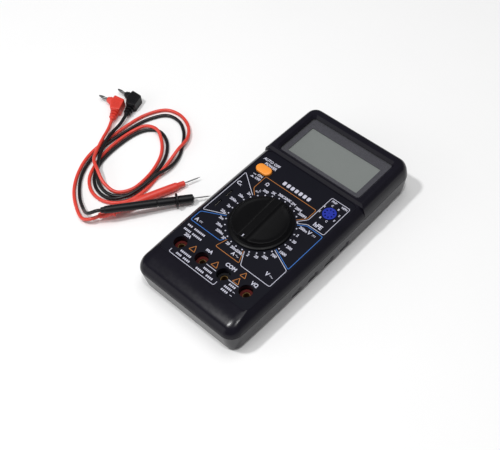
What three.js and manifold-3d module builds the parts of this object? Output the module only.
// Hand-held digital multimeter with its two test leads, in millimetres, +Z up.
// The meter lies on its back: origin at the middle of its underside, +Y towards the display.
import * as THREE from "three";
import { mergeVertices } from "three/addons/utils/BufferGeometryUtils.js";
import Module from "manifold-3d";

const wasm = await Module();
wasm.setup();

// ---------- driving dimensions ----------
const GAP = 0.3; // clearance between touching pieces
const CASE_WIDTH = 89.3;
const CASE_LENGTH = 176;
const CASE_CORNER = 9.2;
const SIDE_BOW = 1; // the long sides are this much fuller at mid length
const PARTING_Z = 17.4;
const WALL = 2;
const HOOD_TOP = 28.5; // rim round the display
const BORDER_TOP = 26.8; // rim round the printed label
const LABEL_TOP = 26.5;
const LABEL_THICKNESS = 0.35;
const PANEL_WALL = 1.8;
const HOOD_FRONT_Y = 36.5; // where the hood steps up from the panel
const LABEL_FLOOR = LABEL_TOP - LABEL_THICKNESS - 0.05;
const PANEL_UNDERSIDE = LABEL_FLOOR - PANEL_WALL;
const HOOD_UNDERSIDE = HOOD_TOP - WALL;
const BOARD_BOTTOM = 18.8;
const BOARD_TOP = 20.4;
const DIAL = { x: 0, y: -14.6 };
const JACK_PITCH = 19.15; // the usual spacing for 4 mm plugs
const JACK_Y = -58.5;
const WELL_RADIUS = 4.6;
const COLLAR_TOP = 22;
const COLLAR_HOLE = 2.4;
const DISPLAY = { y: 59.45, width: 68.4, height: 36.3 }; // the clear lens
const READOUT = { y: 57.6, width: 59.8, height: 26 }; // what the bezel leaves open
const BUTTON = { x: -29, y: 19.7, width: 12.2, height: 6.9, travel: 2 };
const TRANSISTOR_SOCKET = { x: 28.3, y: 19.7, radius: 4.7 };
const CAPACITOR_SLOT = { x: -33.4, ys: [-9.5, -20.1], width: 1.5, length: 6.4 };
const STAND = { axisY: 30.5, axisZ: 1.6, width: 60, footY: -48 };
const DOOR = { minY: 40, maxY: 73.6, width: 56, thickness: 2, axisZ: 1 };
const DOOR_AXIS_Y = DOOR.maxY - 1.3;
const BATTERY_POLES = [50.9, 63.8]; // the two poles' places along Y
const BUZZER = { x: 18, y: -66, radius: 7 };
const DETENTS = 30;
const CORD_RADIUS = 1.25;
const CORD_SIDES = 8;
const CORD_STEPS = 80;
const PLUG_AXIS_Z = 4;

// ---------- materials ----------
function material(color, roughness, metalness = 0) {
  return new THREE.MeshStandardMaterial({ color, roughness, metalness });
}
const casePlastic = () => material(0x1b1a1f, 0.5);
const labelPrint = () => material(0x1b1b26, 0.4);
const knobPlastic = () => material(0x17161a, 0.45);
const metal = () => material(0xb9b6ae, 0.3, 1);
const brass = () => material(0xc2a25a, 0.35, 1);
const redPlastic = () => material(0xe23a2c, 0.4);
const blackPlastic = () => material(0x19181c, 0.45);

// ---------- solids ----------
// A closed geometry as a solid that can be joined and cut.
function solid(geometry) {
  const bare = geometry.clone();
  bare.deleteAttribute("normal");
  bare.deleteAttribute("uv");
  const merged = mergeVertices(bare, 1e-4);
  return new wasm.Manifold(
    new wasm.Mesh({
      numProp: 3,
      vertProperties: new Float32Array(merged.attributes.position.array),
      triVerts: new Uint32Array(merged.index.array),
    }),
  );
}

function geometryOf(made) {
  const mesh = made.getMesh();
  const geometry = new THREE.BufferGeometry();
  geometry.setAttribute("position", new THREE.BufferAttribute(mesh.vertProperties, 3));
  geometry.setIndex(new THREE.BufferAttribute(mesh.triVerts, 1));
  return geometry;
}

function join(first, ...others) {
  return geometryOf(others.reduce((sum, one) => sum.add(solid(one)), solid(first)));
}

function cut(body, ...tools) {
  return geometryOf(tools.reduce((rest, tool) => rest.subtract(solid(tool)), solid(body)));
}

function common(one, other) {
  return geometryOf(solid(one).intersect(solid(other)));
}

function box(minX, maxX, minY, maxY, minZ, maxZ) {
  const geometry = new THREE.BoxGeometry(maxX - minX, maxY - minY, maxZ - minZ);
  return geometry.translate((minX + maxX) / 2, (minY + maxY) / 2, (minZ + maxZ) / 2);
}

// An upright round rod.
function rod(x, y, minZ, maxZ, radius, sides = 20) {
  const geometry = new THREE.CylinderGeometry(radius, radius, maxZ - minZ, sides);
  return geometry.rotateX(Math.PI / 2).translate(x, y, (minZ + maxZ) / 2);
}

// A rod along X.
function crossRod(minX, maxX, y, z, radius, sides = 16) {
  const geometry = new THREE.CylinderGeometry(radius, radius, maxX - minX, sides);
  return geometry.rotateZ(Math.PI / 2).translate((minX + maxX) / 2, y, z);
}

// A flat outline made solid from one height to another.
function slab(shape, minZ, maxZ, curveSegments = 3) {
  const options = { depth: maxZ - minZ, bevelEnabled: false, curveSegments };
  return new THREE.ExtrudeGeometry(shape, options).translate(0, 0, minZ);
}

// A turned piece whose profile is [radius, height] pairs, standing along +Z.
function turned(profile, sides = 16) {
  const points = profile.map(([radius, height]) => new THREE.Vector2(radius, height));
  return new THREE.LatheGeometry(points, sides).rotateX(Math.PI / 2);
}

function tube(curve, radius, steps, sides) {
  const section = new THREE.Shape();
  for (let side = 0; side < sides; side++) {
    const angle = (2 * Math.PI * side) / sides;
    const [x, y] = [radius * Math.cos(angle), radius * Math.sin(angle)];
    if (side === 0) {
      section.moveTo(x, y);
    } else {
      section.lineTo(x, y);
    }
  }
  section.closePath();
  return new THREE.ExtrudeGeometry(section, { steps, extrudePath: curve });
}

// A coil spring round an upright axis.
class CoilCurve extends THREE.Curve {
  constructor(x, y, minZ, maxZ, radius, turns) {
    super();
    Object.assign(this, { x, y, minZ, maxZ, radius, turns });
  }
  getPoint(t, target = new THREE.Vector3()) {
    const angle = 2 * Math.PI * this.turns * t;
    const z = this.minZ + (this.maxZ - this.minZ) * t;
    return target.set(this.x + this.radius * Math.cos(angle), this.y + this.radius * Math.sin(angle), z);
  }
}

// A rectangle with round corners, centred on x, y.
function roundedRectangle(x, y, width, height, radius) {
  const [right, top] = [width / 2 - radius, height / 2 - radius];
  const shape = new THREE.Shape();
  shape.absarc(x + right, y + top, radius, 0, Math.PI / 2, false);
  shape.absarc(x - right, y + top, radius, Math.PI / 2, Math.PI, false);
  shape.absarc(x - right, y - top, radius, Math.PI, 1.5 * Math.PI, false);
  shape.absarc(x + right, y - top, radius, 1.5 * Math.PI, 2 * Math.PI, false);
  shape.closePath();
  return shape;
}

const group = new THREE.Group();

function add(name, geometry, pieceMaterial) {
  const mesh = new THREE.Mesh(geometry, pieceMaterial);
  mesh.name = name;
  group.add(mesh);
  return mesh;
}

// ---------- case outline ----------
// The case seen from above, drawn in by `inset` all round and by `footInset` at the -Y end.
function caseOutline(inset, footInset) {
  const half = CASE_WIDTH / 2 - SIDE_BOW - inset;
  const head = CASE_LENGTH / 2 - inset;
  const foot = -CASE_LENGTH / 2 + footInset;
  const radius = Math.max(CASE_CORNER - inset, 3);
  const bulge = 2 * SIDE_BOW; // a quadratic curve's control point stands out twice its sagitta
  const middle = (head + foot) / 2;
  const shape = new THREE.Shape();
  shape.absarc(half - radius, head - radius, radius, 0, Math.PI / 2, false);
  shape.absarc(-half + radius, head - radius, radius, Math.PI / 2, Math.PI, false);
  shape.quadraticCurveTo(-half - bulge, middle, -half, foot + radius);
  shape.absarc(-half + radius, foot + radius, radius, Math.PI, 1.5 * Math.PI, false);
  shape.absarc(half - radius, foot + radius, radius, 1.5 * Math.PI, 2 * Math.PI, false);
  shape.quadraticCurveTo(half + bulge, middle, half, head - radius);
  return shape;
}

// A solid through rings of points that all have the same count.
function stack(rings) {
  const count = rings[0].length;
  const last = (rings.length - 1) * count;
  const index = [];
  for (const [a, b, c] of THREE.ShapeUtils.triangulateShape(rings[0], [])) {
    index.push(c, b, a, last + a, last + b, last + c);
  }
  for (let ring = 0; ring < rings.length - 1; ring++) {
    for (let side = 0; side < count; side++) {
      const [a, b] = [ring * count + side, ring * count + ((side + 1) % count)];
      index.push(a, b, b + count, a, b + count, a + count);
    }
  }
  const geometry = new THREE.BufferGeometry();
  const positions = rings.flat().flatMap((point) => point.toArray());
  geometry.setAttribute("position", new THREE.Float32BufferAttribute(positions, 3));
  geometry.setIndex(index);
  return geometry;
}

// A shape's outline at one height, as a ring for `stack`, without the points where two curves meet twice.
function ringAt(shape, z, curveSegments = 3) {
  const points = shape.getPoints(curveSegments);
  const apart = points.filter((point, place) => point.distanceTo(points.at(place - 1)) > 1e-6);
  return apart.map((point) => new THREE.Vector3(point.x, point.y, z));
}

// The case outline at rising heights: levels are [z, inset, foot inset].
function loft(levels) {
  return stack(levels.map(([z, inset, footInset]) => ringAt(caseOutline(inset, footInset ?? inset), z)));
}

const CASE_POSTS = [-1, 1].flatMap((side) => [
  { x: side * 34.5, y: -76 },
  { x: side * 36.5, y: 35.2 },
]);
const BOARD_POSTS = [-1, 1].flatMap((side) => [-44, 4].map((y) => ({ x: side * 34, y })));
const JACKS = ["current_high", "current_low", "common", "volt_ohm"].map((name, place) => ({
  name,
  x: -0.7 + (place - 1.5) * JACK_PITCH,
  red: name !== "common",
}));

// ---------- front case ----------
function frontCase() {
  const bottom = PARTING_Z + GAP / 2;
  const panelBlock = loft([
    [bottom, 0, 0],
    [19.5, 0.25, 0.5],
    [21.5, 0.9, 1.7],
    [23.5, 2.1, 3.6],
    [25, 3.4, 7.5],
    [26.1, 4.6, 12],
    [BORDER_TOP, 5.6, 17.6],
  ]);
  const hoodBlock = loft([
    [bottom, 0],
    [20, 0.25],
    [23, 0.8],
    [25.5, 1.7],
    [27.2, 2.9],
    [28.1, 4],
    [HOOD_TOP, 5.2],
  ]);
  const hoodSlope = 1.6;
  const hoodSide = new THREE.Shape([
    new THREE.Vector2(HOOD_FRONT_Y, PARTING_Z),
    new THREE.Vector2(CASE_LENGTH, PARTING_Z),
    new THREE.Vector2(CASE_LENGTH, HOOD_TOP + 1),
    new THREE.Vector2(HOOD_FRONT_Y + hoodSlope, HOOD_TOP + 1),
    new THREE.Vector2(HOOD_FRONT_Y + hoodSlope, HOOD_TOP),
    new THREE.Vector2(HOOD_FRONT_Y, BORDER_TOP),
  ]);
  // the side profile is drawn in Y and Z: two quarter turns stand it up and run it across the case
  const reach = CASE_WIDTH / 2 + 1;
  const hoodSpan = slab(hoodSide, -reach, reach).rotateX(Math.PI / 2).rotateZ(Math.PI / 2);
  const outside = join(panelBlock, common(hoodBlock, hoodSpan));

  const below = PARTING_Z - 1;
  const panelHollow = loft([
    [below, WALL + 0.2],
    [21, WALL + 0.8, 4],
    [23, WALL + 1.9, 6.6],
    [PANEL_UNDERSIDE, WALL + 3.2, 10.5],
  ]);
  const hoodHollow = common(
    loft([
      [below, WALL + 0.2],
      [23, WALL + 0.8],
      [25.5, WALL + 1.7],
      [HOOD_UNDERSIDE, WALL + 2.6],
    ]),
    box(-50, 50, HOOD_FRONT_Y + 1.6, 100, 0, 40),
  );
  const shell = cut(outside, panelHollow, hoodHollow);

  const posts = CASE_POSTS.map(({ x, y }) => rod(x, y, bottom + 0.2, PANEL_UNDERSIDE + 0.5, 3.4, 12));
  const [hanging, ceiling] = [BOARD_TOP + GAP, PANEL_UNDERSIDE + 0.5];
  const boardPosts = BOARD_POSTS.map(({ x, y }) => rod(x, y, hanging, ceiling, 2.9, 12));
  const wellTubes = JACKS.map(({ x }) => rod(x, JACK_Y, hanging, ceiling, WELL_RADIUS + 1.5));
  const solidShell = join(shell, ...posts, ...boardPosts, ...wellTubes, detentRing());

  const label = slab(labelOutline(0.15), LABEL_FLOOR, HOOD_TOP + 2);
  const wells = JACKS.map(({ x }) => rod(x, JACK_Y, 10, 40, WELL_RADIUS));
  const postHoles = CASE_POSTS.map(({ x, y }) => rod(x, y, 10, 23, 1.8, 12));
  const boardHoles = BOARD_POSTS.map(({ x, y }) => rod(x, y, 10, 23.2, 1.4, 12));
  return cut(
    solidShell,
    label,
    displayWindow(),
    rod(DIAL.x, DIAL.y, 10, 40, 8.5),
    slab(obround(BUTTON, GAP), 10, 40),
    rod(TRANSISTOR_SOCKET.x, TRANSISTOR_SOCKET.y, 10, 40, TRANSISTOR_SOCKET.radius + GAP),
    ...capacitorSlots(0.6),
    ...wells,
    ...postHoles,
    ...boardHoles,
  );
}

// The window through the hood, with walls that slope in to the lens.
function displayWindow() {
  const slope = 3.4;
  const { y, width, height } = DISPLAY;
  const narrow = roundedRectangle(0, y, width, height, 2);
  const wide = roundedRectangle(0, y, width + 2 * slope, height + 2 * slope, 3);
  return stack([
    ringAt(narrow, 20),
    ringAt(narrow, HOOD_UNDERSIDE - 0.1),
    ringAt(wide, HOOD_TOP + 0.1),
    ringAt(wide, HOOD_TOP + 2),
  ]);
}

function obround({ x, y, width, height }, growth) {
  return roundedRectangle(x, y, width + 2 * growth, height + 2 * growth, height / 2 + growth - 0.01);
}

function labelOutline(growth) {
  const [minY, maxY] = [-69.6, 35.6];
  return roundedRectangle(0, (minY + maxY) / 2, 77.4 + 2 * growth, maxY - minY + 2 * growth, 4);
}

function capacitorSlots(growth) {
  const { x, ys, width, length } = CAPACITOR_SLOT;
  const [halfWidth, halfLength] = [width / 2 + growth, length / 2 + growth];
  return ys.map((y) => box(x - halfWidth, x + halfWidth, y - halfLength, y + halfLength, 10, 40));
}

// The ring of shallow notches under the panel that the detent balls click into.
function detentRing() {
  const [crest, depth, outer] = [20.8, 0.5, 23];
  const ring = new THREE.Shape().absarc(DIAL.x, DIAL.y, outer, 0, 2 * Math.PI, false);
  const wave = [];
  const samples = DETENTS * 2;
  for (let sample = 0; sample < samples; sample++) {
    const angle = (2 * Math.PI * sample) / samples;
    const radius = crest + (depth / 2) * (1 + Math.cos(DETENTS * angle));
    wave.push(new THREE.Vector2(DIAL.x + radius * Math.cos(angle), DIAL.y + radius * Math.sin(angle)));
  }
  ring.holes.push(new THREE.Path(wave));
  return slab(ring, BOARD_TOP + 1, PANEL_UNDERSIDE + 0.5, 18);
}

// ---------- rear case ----------
function rearCase() {
  const top = PARTING_Z - GAP / 2;
  const floorTop = 3.6;
  const outside = loft([
    [0, 4.2],
    [0.8, 3.1],
    [2.4, 2.3],
    [8, 1.3],
    [top, 0],
  ]);
  const hollow = loft([
    [floorTop, 4.8],
    [8, WALL + 1.3],
    [top + 1, WALL],
  ]);
  const shell = cut(outside, hollow, ...gripNotches());
  const posts = CASE_POSTS.map(({ x, y }) => rod(x, y, floorTop - 0.5, top, 4.8, 16));
  const standPan = box(-34, 34, -55, 35, floorTop - 0.5, 5);
  const { x, y, radius } = BUZZER;
  const buzzerWall = rod(x, y, floorTop - 0.5, 6, radius + 1.6);
  const buzzerRing = cut(buzzerWall, rod(x, y, floorTop - 1, 7, radius + 0.4));
  const filled = join(shell, ...posts, standPan, buzzerRing);

  const bores = CASE_POSTS.map(({ x, y }) => rod(x, y, -1, top + 1, 1.8, 12));
  const counterbores = CASE_POSTS.map(({ x, y }) => rod(x, y, -1, 6, 3.2, 16));
  const { axisY, axisZ, width, footY } = STAND;
  const standRecess = box(-width / 2 - 0.6, width / 2 + 0.6, footY - 1, axisY + 2, -1, 3.1);
  const fingerNotch = box(-8, 8, footY - 5, footY, -1, 3.1);
  const standBore = crossRod(-width / 2 - 3, width / 2 + 3, axisY, axisZ, 1.1);
  const doorRecess = box(-DOOR.width / 2, DOOR.width / 2, DOOR.minY, DOOR.maxY, -1, DOOR.thickness + GAP);
  const doorBore = crossRod(-DOOR.width / 2 - 2.2, DOOR.width / 2 + 2.2, DOOR_AXIS_Y, DOOR.axisZ, 0.9);
  const batteryWindow = box(-25, 25, 44, 70.6, -1, 10);
  const standCuts = [standRecess, fingerNotch, standBore];
  const batteryCuts = [doorRecess, doorBore, batteryWindow];
  return cut(filled, ...bores, ...counterbores, ...standCuts, ...batteryCuts);
}

// Four shallow finger notches down each long side.
function gripNotches() {
  const [count, pitch, length, depth, middleY] = [4, 15.6, 7.6, 0.7, -6];
  const notches = [];
  for (let place = 0; place < count; place++) {
    const y = middleY + (place - (count - 1) / 2) * pitch;
    const outer = CASE_WIDTH / 2 + 2;
    const inner = CASE_WIDTH / 2 - 2.3 - depth;
    notches.push(box(inner, outer, y - length / 2, y + length / 2, 3, 8.5));
    notches.push(box(-outer, -inner, y - length / 2, y + length / 2, 3, 8.5));
  }
  return notches;
}

add("front_case", frontCase(), casePlastic());
add("rear_case", rearCase(), casePlastic());

// ---------- label and display ----------
function panelLabel() {
  return cut(
    slab(labelOutline(0), LABEL_TOP - LABEL_THICKNESS, LABEL_TOP),
    rod(DIAL.x, DIAL.y, 20, 40, 8.8),
    slab(obround(BUTTON, GAP), 20, 40),
    rod(TRANSISTOR_SOCKET.x, TRANSISTOR_SOCKET.y, 20, 40, TRANSISTOR_SOCKET.radius + GAP),
    ...capacitorSlots(0),
    ...JACKS.map(({ x }) => rod(x, JACK_Y, 20, 40, WELL_RADIUS)),
  );
}

// The lens and the bezel reach a little way under the hood all round.
function lensOutline() {
  const underHood = 1.2;
  return roundedRectangle(0, DISPLAY.y, DISPLAY.width + 2 * underHood, DISPLAY.height + 2 * underHood, 2);
}

function displayBezel() {
  const readout = roundedRectangle(0, READOUT.y, READOUT.width, READOUT.height, 1);
  return cut(slab(lensOutline(), 24.7, 25.2), slab(readout, 20, 30));
}

add("panel_label", panelLabel(), labelPrint());
add("display_lens", slab(lensOutline(), 25.5, 26.2), material(0x8f9690, 0.1));
add("display_bezel", displayBezel(), material(0x34313c, 0.6));
add("lcd_glass", box(-33, 33, 41.5, 74, 22.4, 24.4), material(0x7a7f7b, 0.3));
add("zebra_strip", box(-29, 29, 42.2, 44.6, BOARD_TOP + GAP, 22.1), material(0xd9a0a8, 0.8));

// ---------- circuit board ----------
function circuitBoard() {
  return cut(
    box(-38, 38, -70, 73, BOARD_BOTTOM, BOARD_TOP),
    ...JACKS.map(({ x }) => rod(x, JACK_Y, 10, 30, 3)),
    ...BOARD_POSTS.map(({ x, y }) => rod(x, y, 10, 30, 1.5, 12)),
    ...CASE_POSTS.map(({ x, y }) => rod(x, y, 10, 30, 3.8, 12)),
    box(BUTTON.x - 1.9, BUTTON.x + 1.9, BUTTON.y - 1.9, BUTTON.y + 1.9, 10, 30),
  );
}

add("circuit_board", circuitBoard(), material(0x2f6b3a, 0.5));
add("measuring_chip", box(-9, 9, 22, 33, 15.6, BOARD_BOTTOM - GAP), blackPlastic());
add("trimmer", box(12, 19, 25, 32, 13.8, BOARD_BOTTOM - GAP), material(0x2b5fa8, 0.5));

// ---------- selector ----------
const KNOB_BOTTOM = LABEL_TOP + 0.6;
const SKIRT_RADIUS = 21.65;
const ROTOR = { bottom: 21.3, top: 23.7, radius: 19.2 };
const STEM = 6;
const POINTER_TURN = THREE.MathUtils.degToRad(3); // the bar stands this far off the -Y axis

function selectorKnob() {
  const disc = turned([
    [0, KNOB_BOTTOM],
    [SKIRT_RADIUS, KNOB_BOTTOM],
    [SKIRT_RADIUS, KNOB_BOTTOM + 0.9],
    [20.3, KNOB_BOTTOM + 1.5],
    [19.6, 30],
    [18.4, 30.6],
    [0, 30.2],
  ], 60);
  const [barTop, topHalf, baseHalf, reach] = [32.8, 2.6, 5.2, 19.2];
  const profile = new THREE.Shape([
    new THREE.Vector2(-baseHalf, 29),
    new THREE.Vector2(baseHalf, 29),
    new THREE.Vector2(baseHalf, 30.4),
    new THREE.Vector2(topHalf + 0.6, 31.4),
    new THREE.Vector2(topHalf, barTop),
    new THREE.Vector2(-topHalf, barTop),
    new THREE.Vector2(-topHalf - 0.6, 31.4),
    new THREE.Vector2(-baseHalf, 30.4),
  ]);
  const bar = slab(profile, -reach, reach).rotateX(Math.PI / 2);
  const rounded = common(bar, rod(0, 0, 20, 40, reach, 48));
  const stem = box(-STEM / 2, STEM / 2, -STEM / 2, STEM / 2, ROTOR.bottom + 0.4, KNOB_BOTTOM + 1);
  return join(disc, rounded, stem).rotateZ(POINTER_TURN).translate(DIAL.x, DIAL.y, 0);
}

function selectorRotor() {
  const hole = STEM / 2 + GAP;
  const plate = join(
    rod(0, 0, ROTOR.bottom, ROTOR.top, ROTOR.radius, 40),
    rod(0, 0, ROTOR.top - 0.5, KNOB_BOTTOM - GAP, 8.1, 24),
  );
  const pockets = [0, Math.PI].map((turn) => {
    const pocket = crossRod(12.5, 22, 0, (ROTOR.bottom + ROTOR.top) / 2, 1, 10);
    return pocket.rotateZ(turn);
  });
  return cut(plate, box(-hole, hole, -hole, hole, 10, 40), ...pockets)
    .rotateZ(POINTER_TURN)
    .translate(DIAL.x, DIAL.y, 0);
}

add("selector_knob", selectorKnob(), knobPlastic());
add("selector_rotor", selectorRotor(), material(0xd8d4c8, 0.6));

// Balls and springs lie in the rotor's pockets; wiper springs ride on the board.
[0, Math.PI].forEach((turn, place) => {
  const z = (ROTOR.bottom + ROTOR.top) / 2;
  const angle = turn + POINTER_TURN;
  const ball = new THREE.SphereGeometry(0.85, 10, 8).translate(19.85, 0, z);
  const spring = tube(new CoilCurve(0, 0, 13, 18.4, 0.5, 4), 0.14, 24, 3);
  spring.rotateY(Math.PI / 2).translate(0, 0, z);
  add(`detent_ball_${place + 1}`, ball.rotateZ(angle).translate(DIAL.x, DIAL.y, 0), metal());
  add(`detent_spring_${place + 1}`, spring.rotateZ(angle).translate(DIAL.x, DIAL.y, 0), metal());
});

[-13, 13].forEach((across, place) => {
  const arm = box(across - 3.5, across + 3.5, -5, 5, BOARD_TOP + 0.25, BOARD_TOP + 0.6);
  const wiper = arm.rotateZ(POINTER_TURN).translate(DIAL.x, DIAL.y, 0);
  add(`contact_spring_${place + 1}`, wiper, brass());
});

// ---------- power switch ----------
const CAP_TOP = 28.4;
const CAP_FLANGE = { bottom: 22.9, top: 23.8 };
const SWITCH = { bottom: 9.6, top: BOARD_BOTTOM - GAP, half: 4.2 };

function powerButtonCap() {
  const collar = { ...BUTTON, width: BUTTON.width + 2, height: BUTTON.height + 2 };
  return join(
    slab(obround(BUTTON, 0), CAP_FLANGE.bottom, CAP_TOP, 4),
    slab(obround(collar, 0), CAP_FLANGE.bottom, CAP_FLANGE.top, 4),
  );
}

function powerSwitchBody() {
  const { x, y } = BUTTON;
  const { bottom, top, half } = SWITCH;
  return cut(
    box(x - half, x + half, y - half, y + half, bottom, top),
    box(x - 2, x + 2, y - 2, y + 2, bottom + 1, 30),
  );
}

function powerSwitchPlunger() {
  const { x, y } = BUTTON;
  return box(x - 1.5, x + 1.5, y - 1.5, y + 1.5, 15, CAP_FLANGE.bottom - GAP);
}

function buttonSpring() {
  return tube(new CoilCurve(BUTTON.x, BUTTON.y, SWITCH.bottom + 1.6, 14.4, 1.3, 4), 0.2, 32, 3);
}

add("power_button_cap", powerButtonCap(), material(0xf79628, 0.4));
add("power_switch_body", powerSwitchBody(), blackPlastic());
add("power_switch_plunger", powerSwitchPlunger(), material(0xe8e6e0, 0.5));
add("button_spring", buttonSpring(), metal());

// ---------- test sockets ----------
function transistorSocket() {
  const { x, y, radius } = TRANSISTOR_SOCKET;
  const contacts = [];
  const [count, ring] = [8, 3];
  for (let place = 0; place < count; place++) {
    const angle = (2 * Math.PI * (place + 0.5)) / count;
    contacts.push(rod(x + ring * Math.cos(angle), y + ring * Math.sin(angle), 23, 30, 0.55, 8));
  }
  return cut(rod(x, y, BOARD_TOP + GAP, LABEL_TOP + 0.3, radius), ...contacts);
}

// A folded spring clip whose two leaves stand under the slot.
function capacitorClip(y) {
  const { x, length } = CAPACITOR_SLOT;
  const half = length / 2 - 0.4;
  const outer = box(x - 0.9, x + 0.9, y - half, y + half, BOARD_TOP + GAP, 25.4);
  return cut(outer, box(x - 0.45, x + 0.45, y - half - 1, y + half + 1, BOARD_TOP + 0.9, 30));
}

const JACK_TUBE = { bore: 2.15, radius: 2.7, bottom: 8, top: 21.1 };

// A round collar at the bottom of a well, with the hole that the plug goes through.
function jackCollar(x) {
  const [bottom, seat, around] = [BOARD_TOP + GAP, JACK_TUBE.top + GAP, JACK_TUBE.radius + GAP];
  const profile = [
    [COLLAR_HOLE, COLLAR_TOP],
    [COLLAR_HOLE, seat],
    [around, seat],
    [around, bottom],
    [WELL_RADIUS - GAP, bottom],
    [WELL_RADIUS - GAP, COLLAR_TOP],
    [COLLAR_HOLE, COLLAR_TOP],
  ];
  return turned(profile).translate(x, JACK_Y, 0);
}

function jackTube(x) {
  const { bore, radius, bottom, top } = JACK_TUBE;
  const profile = [
    [bore, top],
    [bore, bottom],
    [radius, bottom],
    [radius, top],
    [bore, top],
  ];
  return turned(profile).translate(x, JACK_Y, 0);
}

add("transistor_socket", transistorSocket(), material(0x2332c8, 0.4));
CAPACITOR_SLOT.ys.forEach((y, place) => add(`capacitor_clip_${place + 1}`, capacitorClip(y), metal()));
for (const { name, x, red } of JACKS) {
  add(`jack_collar_${name}`, jackCollar(x), red ? redPlastic() : blackPlastic());
  add(`jack_tube_${name}`, jackTube(x), brass());
}

// ---------- under the board ----------
const FUSE = { y: -44, z: 14, minX: -30, maxX: -10, radius: 2.5 };

function fuseClip(x) {
  const { y, z, radius } = FUSE;
  const outer = box(x - 2, x + 2, y - radius - 1, y + radius + 1, z - 2, BOARD_BOTTOM - GAP);
  return cut(
    outer,
    crossRod(x - 3, x + 3, y, z, radius + GAP),
    box(x - 3, x + 3, y - 1.6, y + 1.6, 0, z),
  );
}

function shuntWire() {
  const points = [
    [-24, 18.4],
    [-24, 12.5],
    [-22, 11],
    [1, 11],
    [3, 12.5],
    [3, 18.4],
  ].map(([x, z]) => new THREE.Vector3(x, JACK_Y - 6, z));
  return tube(new THREE.CatmullRomCurve3(points, false, "centripetal"), 0.8, 24, 6);
}

add("fuse", crossRod(FUSE.minX, FUSE.maxX, FUSE.y, FUSE.z, FUSE.radius), material(0xd8dde0, 0.2));
add("fuse_clip_1", fuseClip(FUSE.minX + 3), brass());
add("fuse_clip_2", fuseClip(FUSE.maxX - 3), brass());
add("shunt_wire", shuntWire(), metal());
add("buzzer_disc", rod(BUZZER.x, BUZZER.y, 4, 4.6, BUZZER.radius), brass());

// ---------- battery, door, stand, screws ----------
function battery() {
  const body = box(-24, 21.4, 44.7, 70, DOOR.thickness + 0.4, 18.4);
  const terminals = BATTERY_POLES.map((y) => crossRod(21, 24, y, 10.5, 2.9, 12));
  return join(body, ...terminals);
}

function batterySnap() {
  const plate = box(22, 26.5, 45.5, 69.3, 4, 17);
  return cut(plate, ...BATTERY_POLES.map((y) => crossRod(20, 24.5, y, 10.5, 3.3, 12)));
}

function batteryDoor() {
  const edge = GAP;
  const plate = box(
    -DOOR.width / 2 + edge,
    DOOR.width / 2 - edge,
    DOOR.minY + edge,
    DOOR_AXIS_Y,
    0,
    DOOR.thickness,
  );
  const pins = crossRod(-DOOR.width / 2 - 1.8, DOOR.width / 2 + 1.8, DOOR_AXIS_Y, DOOR.axisZ, 0.6, 12);
  const barrel = crossRod(-DOOR.width / 2 + edge, DOOR.width / 2 - edge, DOOR_AXIS_Y, DOOR.axisZ, 1, 16);
  const fingerGroove = box(-9, 9, DOOR.minY + 2.5, DOOR.minY + 4, -1, 0.8);
  return cut(join(plate, barrel, pins), fingerGroove);
}

function tiltStand() {
  const { axisY, axisZ, width, footY } = STAND;
  const plate = slab(roundedRectangle(0, (axisY + footY) / 2, width, axisY - footY, 3), 0.4, 2.7);
  const hole = slab(roundedRectangle(0, 2, 36, 34, 5), -1, 5);
  const barrel = crossRod(-width / 2, width / 2, axisY, axisZ, 1.3);
  const pins = crossRod(-width / 2 - 2.6, width / 2 + 2.6, axisY, axisZ, 0.8, 12);
  const clearance = box(-width, width, axisY, axisY + 5, -1, 6);
  return join(cut(plate, hole, clearance), barrel, pins);
}

function caseScrew({ x, y }) {
  const profile = [
    [0, 5.4],
    [2.8, 5.4],
    [2.8, 5.7],
    [1.5, 5.7],
    [1.5, 22],
    [0, 22.6],
  ];
  return turned(profile, 16).translate(x, y, 0);
}

function boardScrew({ x, y }) {
  const profile = [
    [0, 17],
    [2.4, 17],
    [2.4, BOARD_BOTTOM - GAP],
    [1.1, BOARD_BOTTOM - GAP],
    [1.1, 22.6],
    [0, 22.9],
  ];
  return turned(profile, 12).translate(x, y, 0);
}

add("battery", battery(), material(0x9a7b3c, 0.5));
add("battery_snap", batterySnap(), blackPlastic());
add("battery_door", batteryDoor(), casePlastic());
add("tilt_stand", tiltStand(), casePlastic());
CASE_POSTS.forEach((post, place) => add(`case_screw_${place + 1}`, caseScrew(post), metal()));
BOARD_POSTS.forEach((post, place) => add(`board_screw_${place + 1}`, boardScrew(post), metal()));

// ---------- test leads ----------
// Each cord's route from its plug to its probe: two laps of a loose loop on the table.
const RED_ROUTE = [
  [-163.7, -3.9, 4],
  [-160, -10.5, 3.3],
  [-154.2, -21.8, 4.3],
  [-148.6, -32, 4.7],
  [-142.2, -39.6, 6.5],
  [-133.8, -43.8, 6.8],
  [-123, -47.9, 3.6],
  [-111.5, -47, 1.5],
  [-104.8, -38.5, 1.35],
  [-104.1, -26, 1.35],
  [-106.8, -13.5, 1.35],
  [-112.3, -2, 1.5],
  [-120.8, 6.6, 2.2],
  [-130.5, 11.3, 4.2],
  [-140, 8.8, 3.4],
  [-145.3, 0, 1.5],
  [-146.6, -13, 1.35],
  [-145.6, -27, 1.35],
  [-141.9, -40, 1.35],
  [-134.8, -51.8, 1.35],
  [-123.5, -58.3, 1.35],
  [-110.5, -57.6, 1.35],
  [-99.9, -48.8, 1.35],
  [-96.6, -35, 1.5],
  [-101.5, -7, 1.8],
  [-104, 7.5, 4.2],
  [-107.6, 20.5, 3.2],
  [-117, 30, 1.6],
  [-129.5, 34, 1.35],
  [-141.5, 31, 1.35],
  [-149.8, 18, 1.35],
  [-152.9, 0, 1.35],
  [-152.8, -35, 1.35],
  [-146.2, -52, 1.35],
  [-135, -66, 1.35],
  [-120.5, -75.3, 1.6],
  [-110.5, -78.6, 3],
  [-104.6, -76.6, 5.2],
];
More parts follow.
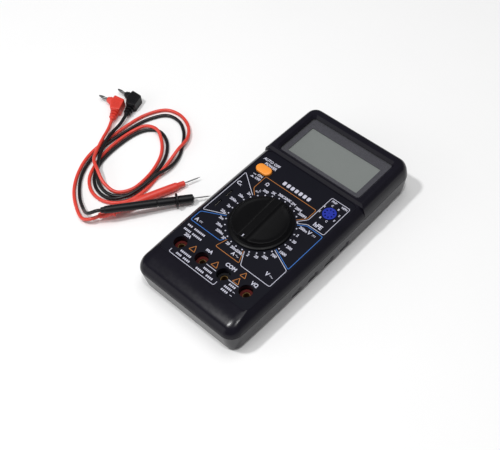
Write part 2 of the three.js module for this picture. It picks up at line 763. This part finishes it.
const BLACK_ROUTE = [
  [-159.2, 6.15, 4],
  [-156.3, -2, 3.6],
  [-153.1, -15.5, 4.4],
  [-148.2, -26.2, 4.4],
  [-141.9, -35.8, 4.3],
  [-133.5, -44.8, 3.7],
  [-123.5, -50.9, 1.9],
  [-112, -51, 1.4],
  [-103.2, -43.8, 1.35],
  [-100.9, -32, 1.35],
  [-104.9, -8.5, 1.35],
  [-111, 2.5, 1.35],
  [-120, 10.3, 1.35],
  [-130.3, 12.6, 1.35],
  [-138.2, 7.2, 1.35],
  [-142.2, -3, 1.35],
  [-142.2, -29, 1.35],
  [-138.6, -40.5, 1.35],
  [-131.5, -50, 1.35],
  [-121.5, -54.8, 1.35],
  [-110, -53.9, 1.9],
  [-101.6, -46, 3.5],
  [-98.7, -33, 4.1],
  [-98.6, -19, 4.2],
  [-97.6, -7, 2.8],
  [-100.3, 4, 1.5],
  [-106.5, 14, 1.35],
  [-115, 23.5, 1.35],
  [-125.5, 29, 1.35],
  [-137, 27.6, 1.35],
  [-145.4, 15, 1.35],
  [-149, -3, 1.35],
  [-150.7, -20, 1.35],
  [-148.8, -37, 1.4],
  [-141.8, -53, 1.4],
  [-128.5, -66.2, 1.9],
  [-114.5, -73.5, 4.6],
  [-105.6, -75.6, 10],
];

const PROBE_LENGTH = 64;
const NEEDLE_LENGTH = 12;
const RED_PROBE = { tail: [-101.4, -70.5, 5.3], front: [-78, -10.2, 3.4], flangeAt: 10, flangeRadius: 4.3 };
const BLACK_PROBE = { tail: [-98.7, -69.3, 12.8], front: [-62, -15.6, 4.3], flangeAt: 52, flangeRadius: 5 };

// A probe handle lies along +Z from its tail, then is laid from tail to front.
function layAlong(geometry, { tail, front }) {
  const start = new THREE.Vector3(...tail);
  const direction = new THREE.Vector3(...front).sub(start).normalize();
  const turn = new THREE.Quaternion().setFromUnitVectors(new THREE.Vector3(0, 0, 1), direction);
  return geometry.applyQuaternion(turn).translate(start.x, start.y, start.z);
}

function probeHandle(probe) {
  const { flangeAt, flangeRadius } = probe;
  const profile = [
    [0, 0],
    [2, 0],
    [3.1, 4],
    [3.1, flangeAt - 0.7],
    [flangeRadius, flangeAt - 0.7],
    [flangeRadius, flangeAt + 0.7],
    [3.1, flangeAt + 0.7],
    [3.1, PROBE_LENGTH - 4],
    [1.8, PROBE_LENGTH],
    [0, PROBE_LENGTH],
  ];
  return layAlong(turned(profile, 16), probe);
}

function probeTip(probe) {
  const profile = [
    [0, PROBE_LENGTH + GAP],
    [0.6, PROBE_LENGTH + GAP],
    [0.6, PROBE_LENGTH + NEEDLE_LENGTH - 3],
    [0, PROBE_LENGTH + NEEDLE_LENGTH],
  ];
  return layAlong(turned(profile, 8), probe);
}

// A right-angle plug lying flat: pin towards -X, cord leaving at `cordAngle`, then turned and placed.
const PLUG_CORD_ANGLE = THREE.MathUtils.degToRad(-70);
const RELIEF_START = 6.2;
const RELIEF_END = 14.8;
const RED_PLUG = { x: -171.3, y: 9.2, turn: THREE.MathUtils.degToRad(10) };
const BLACK_PLUG = { x: -164.9, y: 20.2, turn: THREE.MathUtils.degToRad(2) };

function placePlug(geometry, { x, y, turn }) {
  return geometry.rotateZ(turn).translate(x, y, PLUG_AXIS_Z);
}

function leadPlug(plug) {
  const block = new THREE.Shape([
    new THREE.Vector2(-6.6, 5.6),
    new THREE.Vector2(-5.8, -1.5),
    new THREE.Vector2(-1.4, -7.2),
    new THREE.Vector2(5.8, -4.8),
    new THREE.Vector2(2.6, 5.6),
  ].reverse());
  const neck = crossRod(-11, -5, 1.6, 0, 3, 16);
  const relief = turned([
    [0, RELIEF_START - 1],
    [3.5, RELIEF_START - 1],
    [2.6, RELIEF_END],
    [0, RELIEF_END],
  ], 12);
  relief.rotateY(Math.PI / 2).rotateZ(PLUG_CORD_ANGLE);
  return placePlug(join(slab(block, -3.7, 3.7), neck, relief), plug);
}

function plugPin(plug) {
  return placePlug(crossRod(-19.5, -11 - GAP, 1.6, 0, 1.2, 12), plug);
}

function cordTube(route, probe) {
  const start = new THREE.Vector3(...probe.tail);
  const into = new THREE.Vector3(...probe.front).sub(start).normalize();
  const points = route.map((point) => new THREE.Vector3(...point));
  points.push(start.clone().addScaledVector(into, -3));
  points.push(start.clone().addScaledVector(into, -GAP));
  return tube(new THREE.CatmullRomCurve3(points, false, "centripetal"), CORD_RADIUS, CORD_STEPS, CORD_SIDES);
}

const LEADS = [
  { color: "red", route: RED_ROUTE, probe: RED_PROBE, plug: RED_PLUG, plastic: redPlastic },
  { color: "black", route: BLACK_ROUTE, probe: BLACK_PROBE, plug: BLACK_PLUG, plastic: blackPlastic },
];
for (const { color, route, probe, plug, plastic } of LEADS) {
  add(`${color}_lead_cord`, cordTube(route, probe), plastic());
  add(`${color}_lead_plug`, leadPlug(plug), plastic());
  add(`${color}_lead_plug_pin`, plugPin(plug), metal());
  add(`${color}_probe_handle`, probeHandle(probe), plastic());
  add(`${color}_probe_tip`, probeTip(probe), metal());
}

export default group;
